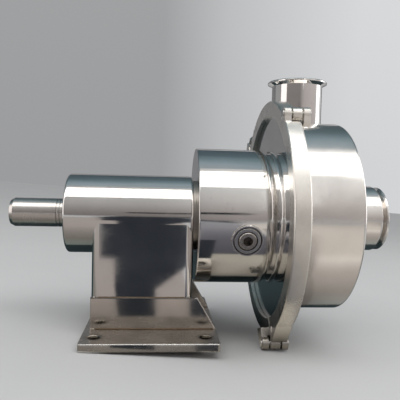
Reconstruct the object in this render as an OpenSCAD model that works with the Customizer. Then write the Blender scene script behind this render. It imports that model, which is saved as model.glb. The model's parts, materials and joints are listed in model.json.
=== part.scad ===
// Sanitary centrifugal pump with a bare shaft, a bearing housing on a welded
// pedestal, a seal chamber, and a drum casing held by a hinged clamp ring.
// Units are millimetres. X runs along the shaft towards the suction port, Z is up,
// and the origin is the centre of the foot bolt pattern on the underside of the base plate.

/* [Shaft] */
// Height of the shaft axis above the underside of the base plate
axis_height = 111.5; // [104:0.5:135]
// Diameter of the bare drive end of the shaft
shaft_d = 28; // [22:0.5:29]
// Length of shaft that stands out of the housing
shaft_stickout = 55; // [30:1:90]
// Length of the bevel at the drive end
shaft_bevel = 3.5; // [1:0.5:6]
// Width of each turned groove by the housing
groove_w = 1; // [0.6:0.1:1.6]
// Depth of each turned groove by the housing
groove_depth = 0.6; // [0.3:0.1:1]
// Distance from the housing to the nearer groove
groove_from_housing = 7; // [4:0.5:12]
// Distance between the two grooves
groove_spacing = 3.2; // [2:0.1:6]

/* [Bearings] */
// Bore of each ball bearing
bearing_bore = 30; // [30:0.5:32]
// Outside diameter of each ball bearing
bearing_od = 62; // [58:0.5:66]
// Width of each ball bearing
bearing_w = 16; // [14:0.5:20]
// Diameter of each ball
ball_d = 9; // [7:0.5:9.5]
// Number of balls in each bearing
ball_count = 9; // [7:1:10]
// Width of each shaft seal
lip_seal_w = 7; // [6:0.5:8]
// Thickness of each retaining ring
circlip_t = 1.6; // [1.2:0.1:2]

/* [Bearing housing] */
// Outside diameter of the bearing housing
housing_d = 77.4; // [77:0.2:84]
// Length of the bearing housing
housing_len = 121; // [110:1:150]
// Rounding at the ends of the bearing housing
housing_round = 2.5; // [1:0.5:3]

/* [Pedestal] */
// Length of the welded box pedestal along the shaft
box_len = 94.6; // [80:0.2:97]
// Width of the welded box pedestal
box_w = 76.4; // [66:0.2:76.8]
// Rounding of the upright edges of the box
box_round = 7; // [5:0.5:10]
// Wall of the box
box_wall = 5; // [4:0.5:6]
// Thickness of the side plates welded to the foot of the box
side_plate_t = 4; // [3:0.5:5]
// Amount by which the side plates stand proud of the box
side_plate_proud = 1.4; // [0.8:0.1:2]
// Height of the side plates above the base plate
side_plate_h = 29.5; // [20:0.5:36]
// Run of the slanted end of each side plate
side_plate_slant = 17.5; // [10:0.5:20]
// Length of the base plate
plate_len = 122; // [118:1:140]
// Width of the base plate
plate_w = 160; // [152:1:180]
// Thickness of the base plate
plate_t = 7; // [6:0.5:12]
// Distance of the foot holes from the plate's edge, along the shaft
foot_edge_x = 11.5; // [9:0.5:20]
// Distance of the foot holes from the plate's edge, across the shaft
foot_edge_y = 18; // [10:0.5:26]
// Diameter of the foot holes
foot_hole_d = 8.5; // [7:0.5:10]
// Diameter of the countersink around each foot hole
foot_sink_d = 12.5; // [11:0.5:14]

/* [Seal chamber] */
// Outside diameter of the seal chamber
chamber_d = 133.4; // [126:0.2:140]
// Length of the seal chamber drum
chamber_len = 68; // [60:0.5:80]
// Wall of the seal chamber drum
chamber_wall = 6.5; // [5:0.5:9]
// Thickness of the end wall by the bearing housing
chamber_end_t = 8; // [6:0.5:12]
// Gap bridged by the weld neck between housing and chamber
neck_len = 2.7; // [2:0.1:6]
// Diameter of the port boss on the near side
boss_d = 28.6; // [26:0.2:30]
// Amount by which the port boss stands proud
boss_proud = 2; // [1:0.2:4]
// Diameter of the port plug's head
plug_d = 16.2; // [14:0.2:18]
// Width across flats of the hexagon socket in the plug
plug_socket_af = 8; // [6:0.5:9]
// Angle of the port boss below the horizontal
boss_drop_angle = 14; // [5:1:25]

/* [Clamp ring] */
// Thickness of the clamp ring's band outside its groove
clamp_band_t = 6.1; // [5:0.1:9]
// Width of the clamp ring
clamp_w = 14.6; // [14:0.2:16]
// Step from the casing drum out to the clamp ring's lips
clamp_step = 8; // [6.5:0.1:10]
// Depth of the clamp ring's groove
clamp_groove_depth = 8.5; // [7.5:0.1:9.5]
// Shift of the groove from the ring's middle towards the casing
groove_shift = 0.8; // [0:0.1:1.4]
// Angle of the top hinge from the vertical, towards the near side
top_hinge_angle = 35; // [30:0.5:42]
// Angle of the bottom hinge from the vertical, towards the near side
bottom_hinge_angle = 158; // [150:1:168]
// Angle of the closing bolt from the vertical, towards the far side
closure_angle = 58; // [50:1:70]
// Height of the top hinge pin above the ring's outer face
top_pin_lift = 1.9; // [1.4:0.1:4]
// Height of the bottom hinge pin above the ring's outer face
bottom_pin_lift = 9; // [7.5:0.1:11]
// Height of the closing bolt above the ring's outer face
bolt_lift = 8.6; // [8:0.1:12]
// Diameter of the hinge pins
hinge_pin_d = 5; // [4:0.5:6]
// Diameter of the closing bolt
bolt_d = 7.8; // [6:0.1:8]
// Travel of the nut when it is backed off
nut_travel = 8; // [5:0.5:10]

/* [Casing] */
// Outside diameter of the casing drum
casing_d = 186; // [180:1:192]
// Length of the casing drum beyond the clamp ring
casing_len = 55; // [52:0.5:70]
// Wall of the casing
casing_wall = 5; // [4:0.5:6]
// Height of the drum's centre above the shaft axis
casing_rise = 2; // [0:0.2:3]
// Rounding of the casing's outer edge
casing_round = 3; // [2:0.5:4.5]

/* [Ports] */
// Outside diameter of the port tubes
tube_d = 54; // [51.5:0.5:56]
// Bore of both ports
port_bore = 50; // [44:0.5:50]
// Diameter of the clamp flange on both ports
ferrule_d = 64; // [62:0.5:70]
// Thickness of the rim of the port flanges
ferrule_rim = 2.9; // [2:0.1:4]
// Diameter of the suction hub on the casing's front
suction_hub_d = 66; // [64:0.5:72]
// Distance from the casing's front to the suction face
suction_len = 48.8; // [40:0.2:70]
// Height of the discharge face above the casing's largest circle
discharge_len = 51; // [45:1:77]
// Distance from the discharge's axis to the casing's far side
discharge_inset = 49; // [45:1:63]

/* [Impeller] */
// Gap between the impeller's rim and the casing's inner wall
impeller_gap = 15; // [10:0.5:25]
// Number of impeller vanes
vane_count = 5; // [4:1:7]
// Thickness of the impeller disc
impeller_disc_t = 4; // [3:0.5:5]
// Width of the impeller vanes
vane_w = 19; // [14:0.5:19]
// Thickness of each vane
vane_t = 3; // [2:0.5:4]

/* [Clearances] */
// Gap between parts that turn past each other
run_gap = 0.3; // [0.2:0.05:0.5]
// Gap around a pin or a bush that turns
pin_gap = 0.1; // [0.05:0.01:0.2]
// Gap at a welded or pressed seat
seat_gap = 0.02; // [0.01:0.01:0.05]

/* [Hidden] */
$fn = 64;
round_fn = 120;
small_fn = 32;
over = 1;

// Stations along X, from the drive end to the suction port
plate_x1 = plate_len / 2;
foot_x = plate_x1 - foot_edge_x;
foot_y = plate_w / 2 - foot_edge_y;
box_right_share = 0.407;
box_x1 = box_len * box_right_share;
box_x0 = box_x1 - box_len;
housing_x1 = box_x1 - box_wall / 10;
housing_x0 = housing_x1 - housing_len;
shaft_x0 = housing_x0 - shaft_stickout;
chamber_x0 = housing_x1 + neck_len;
chamber_x1 = chamber_x0 + chamber_len;
clamp_gap_share = 0.24;
clamp_x0 = chamber_x1 + clamp_w * clamp_gap_share;
clamp_mid = clamp_x0 + clamp_w / 2;
groove_mid = clamp_mid + groove_shift;
clamp_x1 = clamp_x0 + clamp_w;
casing_x1 = clamp_x1 + casing_len;
casing_inner_x1 = casing_x1 - casing_wall;
suction_x1 = casing_x1 + suction_len;

// Clamp groove and the flanges that it holds
lip_r = casing_d / 2 + clamp_step;
root_r = lip_r + clamp_groove_depth;
clamp_r = root_r + clamp_band_t;
top_pin_radius = clamp_r + top_pin_lift;
bottom_pin_radius = clamp_r + bottom_pin_lift;
bolt_radius = clamp_r + bolt_lift;
groove_half_lip_share = 0.3;
groove_half_root_share = 0.18;
groove_half_lip = clamp_w * groove_half_lip_share;
groove_half_root = clamp_w * groove_half_root_share;
groove_slope = (groove_half_lip - groove_half_root) / (root_r - lip_r);
flange_r = root_r - 3.5 * run_gap;
flange_half_rim = groove_half_root + (root_r - flange_r) * groove_slope - run_gap;
flange_half_lip = groove_half_lip - run_gap;
cover_t = 3;
cover_x0 = groove_mid - cover_t / 2;
cover_x1 = groove_mid + cover_t / 2;
ring_edge = 1;

// Bearing seats
shoulder_x0 = housing_x0 + lip_seal_w + circlip_t + bearing_w + 6 * run_gap;
shoulder_x1 = housing_x1 - lip_seal_w - circlip_t - bearing_w - 6 * run_gap;
housing_bore_share = 0.887;
housing_bore = bearing_od * housing_bore_share;
bearing_de_x0 = shoulder_x0 - bearing_w;
bearing_pe_x0 = shoulder_x1;
race_wall_share = 0.14;
race_wall = (bearing_od - bearing_bore) * race_wall_share;
pitch_r = (bearing_od + bearing_bore) / 4;
cage_wall_share = 0.22;
cage_wall = ball_d * cage_wall_share;

// Shaft steps
seat_d = bearing_bore - 2 * seat_gap;
shoulder_d_share = 1.2;
shoulder_d = bearing_bore * shoulder_d_share;
seal_shaft_share = 0.893;
seal_shaft_d = shaft_d * seal_shaft_share;
impeller_shaft_share = 0.714;
impeller_shaft_d = shaft_d * impeller_shaft_share;
thread_share = 0.571;
thread_d = shaft_d * thread_share;

// Discharge
discharge_rise = casing_d / 2 + discharge_len;
discharge_offset = casing_d / 2 - discharge_inset;
outlet_low_share = 0.86;
throat_low_share = 0.6;
outlet_low = (casing_d / 2 - casing_wall) * outlet_low_share;
throat_low = (casing_d / 2 - casing_wall) * throat_low_share;
throat_d = port_bore + 4 * run_gap;

impeller_d = casing_d - 2 * casing_wall - 2 * impeller_gap;

// Mechanical seal and impeller stations
vane_gap = 2 * run_gap;
vane_x1 = casing_inner_x1 - vane_gap;
vane_x0 = vane_x1 - vane_w;
disc_x0 = vane_x0 - impeller_disc_t;
hub_d_share = 1.3;
hub_d = shaft_d * hub_d_share;
seat_ring_t = 8;
seat_ring_x0 = cover_x0;
seat_ring_x1 = seat_ring_x0 + seat_ring_t;
face_ring_t = 6;
face_ring_x0 = seat_ring_x1;
face_ring_x1 = face_ring_x0 + face_ring_t;
seal_seat_d_share = 1.75;
seal_seat_d = shaft_d * seal_seat_d_share;
seal_ring_d_share = 1.5;
seal_ring_d = shaft_d * seal_ring_d_share;
boss_wall = 6;
spigot_t = 3;
hub_len_share = 0.45;
nut_len_share = 0.9;
nut_len = thread_d * nut_len_share;
hub_x1 = vane_x0 + vane_w * hub_len_share;
nut_x1 = hub_x1 + nut_len;
leaf_t = 1;
bellows_folds = 4;

// Clamp hinges
eye_radius = 6;
ear_t = 6;
top_lug_w = 23;
bottom_lug_w = 24.4;
bottom_hinge_shift = 3.3;
knuckle_gap = 1.5;
web_run = 9;
fork_run = 16;
ramp_run = 30;
slot_end_gap = 3;

// Each hinge: station, width, and the radius at which its pin lies
top_hinge = [clamp_x0 + top_lug_w / 2, top_lug_w, top_pin_radius];
bottom_hinge = [clamp_mid - bottom_hinge_shift, bottom_lug_w, bottom_pin_radius];
pin_head_t = 1;

// Closing bolt, seen square to the ring: tangent is y, outwards is z
closure_w = 16.6;
closure_slot = bolt_d + 4 * run_gap;
bolt_pivot_run = 14;
bolt_reach = 28;
closure_ear_r = 6.4;
closure_pin_d = 5;
nut_af = 13;
nut_t = 6.5;
washer_t = 1.6;
washer_d = 15.6;
bolt_tail = 3;

// Port plug
plug_x = (chamber_x0 + chamber_x1) / 2 + chamber_len / 7;
hex_corner = 1.1547;
hex_turn = 30;

// Places children so that their Z runs along +X from station x, on the shaft axis
module along_x(x) {
    translate([x, 0, axis_height]) rotate([0, 90, 0]) children();
}

// Tube along the shaft axis between two stations
module tube_x(x0, x1, r_out, r_in) {
    along_x(x0) difference() {
        cylinder(h = x1 - x0, r = r_out, $fn = round_fn);
        translate([0, 0, -over]) cylinder(h = x1 - x0 + 2 * over, r = r_in, $fn = round_fn);
    }
}

// Solid bar along the shaft axis between two stations
module bar_x(x0, x1, r) {
    along_x(x0) cylinder(h = x1 - x0, r = r, $fn = round_fn);
}

// Children stand at angle a round the shaft axis from the top, with Z outwards
// and -Y in the direction of growing angle
module at_angle(a) {
    translate([0, 0, axis_height]) rotate([a, 0, 0]) children();
}

// Cylinder parallel to the shaft, centred on station x, at tangent y and radius z
module cross_pin(x, y, z, w, r) {
    translate([x - w / 2, y, z]) rotate([0, 90, 0]) cylinder(h = w, r = r);
}

module base_plate() {
    edge_round = 2;
    color("silver") difference() {
        linear_extrude(plate_t) difference() {
            square([plate_len, plate_w], center = true);
            for (sx = [-1, 1]) for (sy = [-1, 1]) scale([sx, sy])
                translate([plate_len / 2 - edge_round, plate_w / 2 - edge_round]) difference() {
                    square(edge_round + over);
                    circle(edge_round, $fn = small_fn);
                }
        }
        for (x = [-1, 1] * foot_x) for (y = [-1, 1] * foot_y)
            translate([x, y, -over]) {
                cylinder(h = plate_t + 2 * over, d = foot_hole_d);
                translate([0, 0, over + plate_t - (foot_sink_d - foot_hole_d) / 2])
                    cylinder(h = (foot_sink_d - foot_hole_d) / 2, d1 = foot_hole_d, d2 = foot_sink_d);
                translate([0, 0, over + plate_t]) cylinder(h = over, d = foot_sink_d);
            }
    }
}

// Rounded rectangle of the box, shrunk by inset
module box_outline(inset) {
    r = box_round - inset / 2;
    half_x = box_len / 2 - inset - r;
    half_y = box_w / 2 - inset - r;
    translate([(box_x0 + box_x1) / 2, 0]) {
        for (sx = [-1, 1]) for (sy = [-1, 1]) translate([sx * half_x, sy * half_y]) circle(r);
        square([2 * half_x, 2 * (half_y + r)], center = true);
        square([2 * (half_x + r), 2 * half_y], center = true);
    }
}

module pedestal_box() {
    side_y = box_w / 2 + side_plate_proud - side_plate_t;
    color("lightgray") difference() {
        translate([0, 0, plate_t]) linear_extrude(axis_height - plate_t) difference() {
            box_outline(0);
            box_outline(box_wall);
        }
        bar_x(housing_x0 - over, chamber_x0, housing_d / 2 + seat_gap);
        for (s = [-1, 1]) translate([box_x0 - over, s > 0 ? side_y : -side_y - box_wall, plate_t - over])
            cube([box_len + 2 * over, box_wall, side_plate_h + over + seat_gap]);
    }
}

// Side plate with a slanted end towards the casing; side is -1 near, 1 far
module side_plate(side) {
    outer = box_w / 2 + side_plate_proud;
    top_x = plate_x1 - side_plate_slant;
    y0 = side < 0 ? -outer : outer - side_plate_t;
    color("darkgray") translate([0, y0 + side_plate_t, plate_t]) rotate([90, 0, 0])
        linear_extrude(side_plate_t)
            polygon([[box_x0, 0], [plate_x1, 0], [top_x, side_plate_h], [box_x0, side_plate_h]]);
}

module side_plate_front() { side_plate(-1); }
module side_plate_rear() { side_plate(1); }

module bearing_housing() {
    r = housing_d / 2;
    bore_r = bearing_od / 2 + seat_gap;
    e = housing_round;
    color("gainsboro") along_x(0) rotate_extrude($fn = round_fn) difference() {
        union() {
            translate([housing_bore / 2, housing_x0]) square([r - housing_bore / 2 - e, housing_len]);
            translate([housing_bore / 2, housing_x0 + e]) square([r - housing_bore / 2, housing_len - 2 * e]);
            for (x = [housing_x0 + e, housing_x1 - e]) translate([r - e, x]) circle(e, $fn = small_fn);
        }
        translate([0, housing_x0 - over]) square([bore_r, shoulder_x0 - housing_x0 + over]);
        translate([0, shoulder_x1]) square([bore_r, housing_x1 - shoulder_x1 + over]);
        for (x = [bearing_de_x0 - circlip_t - 2 * run_gap, bearing_pe_x0 + bearing_w + run_gap])
            translate([0, x]) square([bore_r + circlip_t, circlip_t + run_gap]);
    }
}

module weld_neck() {
    neck_inset = 4;
    r = housing_d / 2 - neck_inset;
    color("silver") tube_x(housing_x1, chamber_x0, r, bearing_od / 2 + 2 * seat_gap);
}

// Half section of the seal chamber, radius first, then station
module chamber_section() {
    r = chamber_d / 2;
    corner = 5;
    back_edge = 1.2;
    neck_r = r - corner / 2;
    fillet = 3;
    disc_face = groove_mid - flange_half_lip;
    bore_r = bearing_od / 2 - boss_wall;
    difference() {
        union() {
            translate([0, chamber_x0]) square([r - corner, chamber_len]);
            translate([0, chamber_x0 + back_edge]) square([r, chamber_len - corner - back_edge]);
            translate([r - corner, chamber_x1 - corner]) circle(corner);
            translate([r - corner, chamber_x0]) square([corner - back_edge, corner]);
            translate([r - back_edge, chamber_x0 + back_edge]) circle(back_edge, $fn = small_fn);
            translate([0, chamber_x1 - corner]) square([neck_r, cover_x0 - chamber_x1 + corner]);
            translate([neck_r - over, disc_face - fillet]) difference() {
                square([fillet + over, cover_x0 - disc_face + fillet]);
                translate([fillet + over, 0]) circle(fillet, $fn = small_fn);
            }
            polygon([[0, disc_face], [lip_r, disc_face], [flange_r, groove_mid - flange_half_rim],
                [flange_r, cover_x0], [0, cover_x0]]);
        }
        translate([0, chamber_x0 + chamber_end_t])
            square([r - chamber_wall, chamber_x1 - chamber_x0 - 2 * chamber_end_t]);
        translate([0, chamber_x0 - over]) square([bore_r, chamber_len + 2 * over]);
        translate([0, chamber_x1 - chamber_end_t - over])
            square([seal_seat_d / 2 + boss_wall + run_gap, cover_x0 - chamber_x1 + chamber_end_t + 2 * over]);
    }
}

module seal_chamber() {
    color("gainsboro") difference() {
        along_x(0) rotate_extrude($fn = round_fn) chamber_section();
        port_axis() translate([0, 0, chamber_d / 2 - 3 * chamber_wall])
            cylinder(h = 4 * chamber_wall, d = boss_d + 2 * seat_gap);
    }
}

// Z runs outwards along the side port, from the shaft axis
module port_axis() {
    translate([plug_x, 0, 0]) at_angle(90 + boss_drop_angle) children();
}

port_face_r = chamber_d / 2 + boss_proud;
plug_shank_share = 0.84;
plug_shank_d = plug_d * plug_shank_share;
plug_washer_t = 1.6;
plug_washer_floor = 0.6;
boss_seat_depth = 1.2;
boss_lip = 1.8;
boss_seat_d = boss_d - 2 * boss_lip;
ring_gap = 0.7;

module port_boss() {
    color("silver") port_axis() difference() {
        translate([0, 0, chamber_d / 2 - chamber_wall - over])
            cylinder(h = chamber_wall + boss_proud + over, d = boss_d);
        translate([0, 0, chamber_d / 2 - 2 * chamber_wall])
            cylinder(h = 4 * chamber_wall, d = plug_shank_d + 2 * seat_gap);
        translate([0, 0, port_face_r - boss_seat_depth]) cylinder(h = chamber_wall, d = boss_seat_d);
    }
}

// Headed plug that is screwed down on its sealing washer
module port_plug() {
    head_x0 = port_face_r - boss_seat_depth + plug_washer_floor;
    head_t = 1.9;
    bevel = 0.7;
    socket_depth = 5;
    shank_len = 10;
    color("gray") port_axis() translate([0, 0, head_x0]) difference() {
        union() {
            cylinder(h = head_t - bevel, d = plug_d);
            translate([0, 0, head_t - bevel]) cylinder(h = bevel, d1 = plug_d, d2 = plug_d - 2 * bevel);
            translate([0, 0, -shank_len]) cylinder(h = shank_len + head_t / 2, d = plug_shank_d);
        }
        translate([0, 0, head_t - socket_depth]) rotate([0, 0, hex_turn])
            cylinder(h = socket_depth + over, d = plug_socket_af * hex_corner, $fn = 6);
    }
}

module plug_washer() {
    color("silver") port_axis() translate([0, 0, port_face_r - boss_seat_depth]) difference() {
        cylinder(h = plug_washer_t, d = boss_seat_d - 2 * ring_gap);
        translate([0, 0, -over]) cylinder(h = plug_washer_t + 2 * over, d = plug_shank_d + 2 * seat_gap);
        translate([0, 0, plug_washer_floor]) cylinder(h = plug_washer_t, d = plug_d + 2 * ring_gap);
    }
}

module back_plate() {
    spigot_r = casing_d / 2 - casing_wall - casing_rise - run_gap;
    boss_x0 = cover_x0 - chamber_end_t;
    seat_r = seal_seat_d / 2;
    color("silver") along_x(0) rotate_extrude($fn = round_fn) difference() {
        union() {
            translate([0, cover_x0]) square([flange_r, cover_t]);
            translate([0, cover_x1 - over]) square([spigot_r, spigot_t + over]);
            translate([0, boss_x0]) square([seat_r + boss_wall, chamber_end_t + over]);
        }
        translate([0, boss_x0 - over]) square([seal_shaft_d / 2 + boss_wall / 2, chamber_end_t + 2 * over]);
        translate([0, cover_x0]) square([seat_r + seat_gap, cover_t + spigot_t + over]);
    }
}

o_ring_d = 1.8;
o_ring_r = lip_r - 2 * o_ring_d;

module casing_drum() {
    r = casing_d / 2;
    e = casing_round;
    bore_r = r - casing_wall;
    hole_r = suction_hub_d / 2 - casing_wall;
    groove_half = o_ring_d / 2 + 2 * run_gap;
    drum_x0 = groove_mid + flange_half_lip;
    color("lightgray") difference() {
        union() {
            translate([0, 0, casing_rise]) along_x(0) rotate_extrude($fn = round_fn) {
                translate([0, drum_x0]) square([r - e, casing_x1 - drum_x0]);
                translate([0, drum_x0]) square([r, casing_x1 - drum_x0 - e]);
                translate([r - e, casing_x1 - e]) circle(e, $fn = small_fn);
            }
            along_x(0) rotate_extrude($fn = round_fn) polygon([[0, cover_x1], [flange_r, cover_x1],
                [flange_r, groove_mid + flange_half_rim], [lip_r, drum_x0], [0, drum_x0]]);
        }
        translate([0, 0, casing_rise]) bar_x(cover_x1 + spigot_t, casing_inner_x1, bore_r);
        bar_x(cover_x1 - over, cover_x1 + spigot_t + over, bore_r - casing_rise);
        bar_x(casing_inner_x1 - over, casing_x1 + over, hole_r);
        along_x(cover_x1 - over) difference() {
            cylinder(h = o_ring_d + over, r = o_ring_r + groove_half, $fn = round_fn);
            translate([0, 0, -over])
                cylinder(h = o_ring_d + 3 * over, r = o_ring_r - groove_half, $fn = round_fn);
        }
        discharge_axis(outlet_low) cylinder(h = discharge_rise, d = port_bore);
        outlet_throat();
    }
}

// Z runs up the discharge from a height above the shaft axis
module discharge_axis(h) {
    x = clamp_x1 + tube_d / 2 + run_gap;
    translate([x, discharge_offset, axis_height + h]) children();
}

// Wider start of the outlet, where it leaves the casing
module outlet_throat() {
    discharge_axis(throat_low) cylinder(h = outlet_low - throat_low, d = throat_d);
}

module casing_o_ring() {
    color("black") along_x(cover_x1 + o_ring_d / 2) rotate_extrude($fn = round_fn)
        translate([o_ring_r, 0]) circle(d = o_ring_d, $fn = small_fn);
}

ferrule_neck = 5;
ferrule_lip = 0.8;

// Port flange, radius first, with its face at height 0 and its tube below
module ferrule_section(tube_len) {
    bore_r = port_bore / 2;
    seal_r = ferrule_d / 2 - ferrule_neck;
    difference() {
        polygon([[bore_r, 0], [ferrule_d / 2 - ferrule_lip, 0], [ferrule_d / 2, -ferrule_lip],
            [ferrule_d / 2, -ferrule_rim + ferrule_lip], [tube_d / 2, -ferrule_rim - ferrule_neck / 3],
            [tube_d / 2, -tube_len], [bore_r, -tube_len]]);
        translate([seal_r - ferrule_lip, 0]) circle(ferrule_lip, $fn = small_fn);
    }
}

module discharge_ferrule() {
    drop = discharge_rise - casing_d / 2 + casing_d / 4;
    color("silver") difference() {
        discharge_axis(discharge_rise) rotate_extrude($fn = round_fn) ferrule_section(drop);
        translate([0, 0, casing_rise]) bar_x(clamp_mid, casing_x1 + over, casing_d / 2 + seat_gap);
        outlet_throat();
    }
}

suction_round = 3;
suction_neck = 3;

module suction_hub() {
    r = suction_hub_d / 2;
    e = suction_round;
    x1 = suction_x1 - ferrule_rim - suction_neck;
    bore_r = tube_d / 2 + seat_gap;
    color("silver") along_x(0) rotate_extrude($fn = round_fn) difference() {
        union() {
            translate([bore_r, casing_x1]) square([r - bore_r - e, x1 - casing_x1]);
            translate([bore_r, casing_x1]) square([r - bore_r, x1 - casing_x1 - e]);
            translate([r - e, x1 - e]) circle(e, $fn = small_fn);
        }
    }
}

module suction_ferrule() {
    color("silver") along_x(suction_x1) rotate_extrude($fn = round_fn) ferrule_section(suction_len);
}

// Half section of the clamp ring: radius, then distance from its middle
module clamp_section() {
    h = clamp_w / 2;
    e = ring_edge;
    g = groove_shift;
    polygon([[lip_r, -h], [clamp_r - e, -h], [clamp_r, -h + e], [clamp_r, h - e], [clamp_r - e, h],
        [lip_r, h], [lip_r, g + groove_half_lip], [root_r, g + groove_half_root],
        [root_r, g - groove_half_root], [lip_r, g - groove_half_lip]]);
}

split_gap_angle = 0.4;

// Clamp ring from angle a0 to a1, in degrees from the top towards the near side
module clamp_arc(a0, a1) {
    along_x(clamp_mid) rotate([0, 0, a0 + split_gap_angle + 180])
        rotate_extrude(angle = a1 - a0 - 2 * split_gap_angle, $fn = round_fn) clamp_section();
}

// Side view of a lug: a round eye at radius pin_r, with a web that runs back to the ring.
// dir is the side of the joint that the web lies on, as the sign of y
module lug_outline(pin_r, eye_r, dir, run) {
    low = root_r + 3 * run_gap;
    foot = sqrt(clamp_r * clamp_r - run * run) - run_gap;
    translate([0, pin_r]) circle(eye_r);
    polygon([[0, low], [0, pin_r + eye_r], [dir * eye_r / 2, pin_r + eye_r * 0.9],
        [dir * run, foot], [dir * run, low - run_gap]]);
}

// Lug of a hinge, given its width w
module lug(hinge, w, eye_r, dir, run) {
    translate([hinge[0] - w / 2, 0, 0]) rotate([90, 0, 90]) linear_extrude(w)
        lug_outline(hinge[2], eye_r, dir, run);
}

// Two ears with a slot between them
module fork(hinge, dir, run) {
    difference() {
        lug(hinge, hinge[1], eye_radius, dir, run);
        slot_cut(hinge, dir);
    }
}

// Slot between the ears, open outwards
module slot_cut(hinge, dir) {
    slot_w = hinge[1] - 2 * ear_t;
    end = eye_radius + slot_end_gap;
    y0 = dir > 0 ? -2 * eye_radius : -end;
    z0 = max(root_r + 3 * run_gap, hinge[2] - eye_radius - 3 * run_gap);
    translate([hinge[0] - slot_w / 2, y0, z0]) cube([slot_w, 2 * eye_radius + end, clamp_r]);
}

// Single knuckle that stands in the slot of a fork
module knuckle(hinge, dir) {
    lug(hinge, hinge[1] - 2 * ear_t - 2 * knuckle_gap, eye_radius - run_gap, dir, web_run);
}

// End of a segment that runs straight out to the knuckle, as wide as the ring
module ramp(hinge) {
    low = root_r + 3 * run_gap;
    top = hinge[2] + eye_radius / 3;
    end = 4 * run_gap;
    foot = sqrt(clamp_r * clamp_r - ramp_run * ramp_run) - run_gap;
    translate([clamp_x0, 0, 0]) rotate([90, 0, 90]) linear_extrude(clamp_w)
        polygon([[end, low], [end, top], [ramp_run, foot], [ramp_run, low - run_gap]]);
}

// Bore through a hinge, with a gap around the pin
module pin_hole(hinge, gap) {
    cross_pin(hinge[0], 0, hinge[2], hinge[1] + 2 * over, hinge_pin_d / 2 + gap);
}

// Room for the ears of a fork in the segment that carries the knuckle
module ear_room(hinge) {
    for (s = [-1, 1])
        cross_pin(hinge[0] + s * (hinge[1] - ear_t) / 2, 0, hinge[2], ear_t + 2 * run_gap,
            eye_radius + 2 * run_gap);
}

module clamp_front_segment() {
    color("darkgray") difference() {
        union() {
            difference() {
                clamp_arc(top_hinge_angle, bottom_hinge_angle);
                at_angle(top_hinge_angle) slot_cut(top_hinge, -1);
            }
            at_angle(top_hinge_angle) fork(top_hinge, -1, web_run);
            at_angle(bottom_hinge_angle) knuckle(bottom_hinge, 1);
            at_angle(bottom_hinge_angle) ramp(bottom_hinge);
        }
        at_angle(bottom_hinge_angle) ear_room(bottom_hinge);
        at_angle(top_hinge_angle) pin_hole(top_hinge, seat_gap);
        at_angle(bottom_hinge_angle) pin_hole(bottom_hinge, seat_gap);
    }
}

// Upper half of the closure: a block with a slot, its top turned about the bolt's pivot
module closure_block() {
    top = bolt_radius + closure_ear_r - run_gap;
    slot_low = bolt_radius - bolt_d / 2 - 4 * run_gap;
    inner = root_r + 3 * run_gap;
    difference() {
        intersection() {
            translate([clamp_mid - closure_w / 2, -bolt_reach, inner])
                cube([closure_w, bolt_reach - 10 * run_gap, top - inner]);
            cross_pin(clamp_mid, bolt_pivot_run, bolt_radius, closure_w, bolt_reach);
        }
        translate([clamp_mid - closure_slot / 2, -2 * bolt_reach, slot_low])
            cube([closure_slot, 2 * bolt_reach, bolt_radius]);
    }
}

module clamp_upper_segment() {
    color("darkgray") difference() {
        union() {
            clamp_arc(-closure_angle, top_hinge_angle);
            at_angle(top_hinge_angle) knuckle(top_hinge, 1);
            at_angle(-closure_angle) closure_block();
        }
        at_angle(top_hinge_angle) ear_room(top_hinge);
        at_angle(top_hinge_angle) pin_hole(top_hinge, pin_gap);
    }
}

// Lower half of the closure: two ears for the bolt's pivot
module closure_ears() {
    inner = root_r + 3 * run_gap;
    run = 2 * bolt_pivot_run;
    foot = sqrt(clamp_r * clamp_r - run * run) - run_gap;
    difference() {
        translate([clamp_mid - closure_w / 2, 0, 0]) rotate([90, 0, 90]) linear_extrude(closure_w) {
            translate([bolt_pivot_run, bolt_radius]) circle(closure_ear_r);
            polygon([[3 * run_gap, inner], [bolt_pivot_run - closure_ear_r, bolt_radius],
                [bolt_pivot_run + closure_ear_r, bolt_radius], [run, foot], [run, foot - 4 * run_gap]]);
        }
        translate([clamp_mid - closure_slot / 2, -over, clamp_r + 2 * run_gap])
            cube([closure_slot, 2 * run, 3 * closure_ear_r]);
        cross_pin(clamp_mid, bolt_pivot_run, bolt_radius, closure_w + 2 * over, closure_pin_d / 2 + seat_gap);
    }
}

module clamp_lower_segment() {
    color("darkgray") difference() {
        union() {
            clamp_arc(bottom_hinge_angle, 360 - closure_angle);
            at_angle(bottom_hinge_angle) fork(bottom_hinge, -1, fork_run);
            at_angle(-closure_angle) closure_ears();
        }
        at_angle(bottom_hinge_angle) pin_hole(bottom_hinge, pin_gap);
    }
}

// Hinge pin with a low head at each end
module hinge_pin(hinge, a) {
    head_r = hinge_pin_d / 2 + pin_head_t;
    color("silver") at_angle(a) {
        cross_pin(hinge[0], 0, hinge[2], hinge[1] + 2 * seat_gap, hinge_pin_d / 2);
        for (s = [-1, 1])
            cross_pin(hinge[0] + s * ((hinge[1] + pin_head_t) / 2 + seat_gap), 0, hinge[2],
                pin_head_t, head_r);
    }
}

module top_hinge_pin() { hinge_pin(top_hinge, top_hinge_angle); }
module bottom_hinge_pin() { hinge_pin(bottom_hinge, bottom_hinge_angle); }

nut_y = bolt_pivot_run - bolt_reach - run_gap;

// Z runs along the closing bolt, from the washer towards its tail
module bolt_axis() {
    at_angle(-closure_angle) translate([clamp_mid, nut_y, bolt_radius]) rotate([90, 0, 0]) children();
}

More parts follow.
